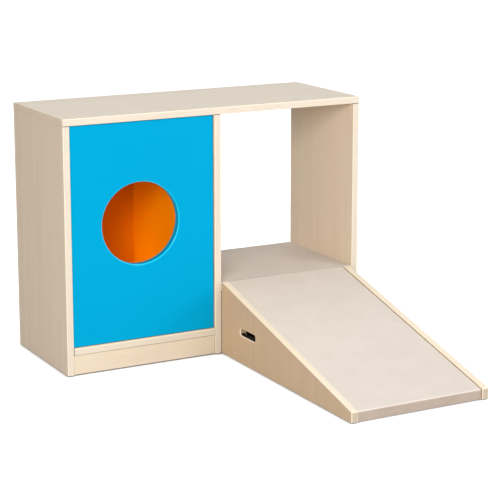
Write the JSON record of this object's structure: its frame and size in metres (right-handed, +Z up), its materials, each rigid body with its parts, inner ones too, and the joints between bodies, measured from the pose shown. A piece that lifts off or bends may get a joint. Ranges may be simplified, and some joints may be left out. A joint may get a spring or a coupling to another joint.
{
  "type": "toddler slide",
  "caption": "Low wooden play cabinet with a round porthole niche, a raised crawl-through and a lift-off wedge ramp that slides a toddler down from the platform.",
  "frame": {"origin": "middle of the whole footprint, cabinet and ramp together, on the floor", "axes": "+Z up, +Y from the ramp's foot towards the back of the cabinet, +X to the right of someone who faces the blue panel"},
  "size_m": [1.04, 1.195, 0.8],
  "materials": {
    "birch_board": "satin",
    "beech": "matt",
    "blue_laminate": "satin",
    "orange_laminate": "satin",
    "beige_covering": "matt",
    "nylon": "matt",
    "zinc": "satin"
  },
  "bodies": {
    "cabinet": {"top_board": "birch_board", "left_side_panel": "birch_board", "divider_panel": "birch_board", "right_side_panel": "birch_board", "bottom_shelf": "birch_board", "plinth_front": "birch_board", "plinth_rear": "birch_board", "platform_board": "birch_board", "platform_front_riser": "birch_board", "platform_rear_riser": "birch_board", "front_batten_left": "beech", "front_batten_right": "beech", "rear_batten_left": "beech", "rear_batten_right": "beech", "platform_cleat_left": "beech", "platform_cleat_right": "beech", "top_dowel_left_front": "beech", "top_dowel_left_rear": "beech", "top_dowel_middle_front": "beech", "top_dowel_middle_rear": "beech", "top_dowel_right_front": "beech", "top_dowel_right_rear": "beech", "shelf_dowel_left_front": "beech", "shelf_dowel_left_rear": "beech", "shelf_dowel_right_front": "beech", "shelf_dowel_right_rear": "beech", "porthole_panel": "blue_laminate", "niche_back_panel": "orange_laminate", "niche_side_left": "orange_laminate", "niche_side_right": "orange_laminate", "platform_cover": "beige_covering", "cabinet_glide_left_front": "nylon", "cabinet_glide_left_rear": "nylon", "cabinet_glide_middle_front": "nylon", "cabinet_glide_middle_rear": "nylon", "cabinet_glide_right_front": "nylon", "cabinet_glide_right_rear": "nylon", "cleat_screw_left_front": "zinc", "cleat_screw_left_rear": "zinc", "cleat_screw_right_front": "zinc", "cleat_screw_right_rear": "zinc"},
    "ramp": {"ramp_left_side": "birch_board", "ramp_right_side": "birch_board", "ramp_deck": "birch_board", "ramp_cover": "beige_covering", "ramp_back_board": "birch_board", "ramp_mid_rail": "beech", "ramp_foot_rail": "beech", "ramp_pin_left": "beech", "ramp_pin_right": "beech", "ramp_dowel_left_low": "beech", "ramp_dowel_left_high": "beech", "ramp_dowel_right_low": "beech", "ramp_dowel_right_high": "beech", "ramp_glide_left_rear": "nylon", "ramp_glide_left_foot": "nylon", "ramp_glide_right_rear": "nylon", "ramp_glide_right_foot": "nylon"}
  },
  "joints": [
    {"name": "ramp_pull_away", "type": "slide", "parent": "cabinet", "child": "ramp", "axis": [0, -1, 0], "range_m": [0, 0.3]}
  ]
}
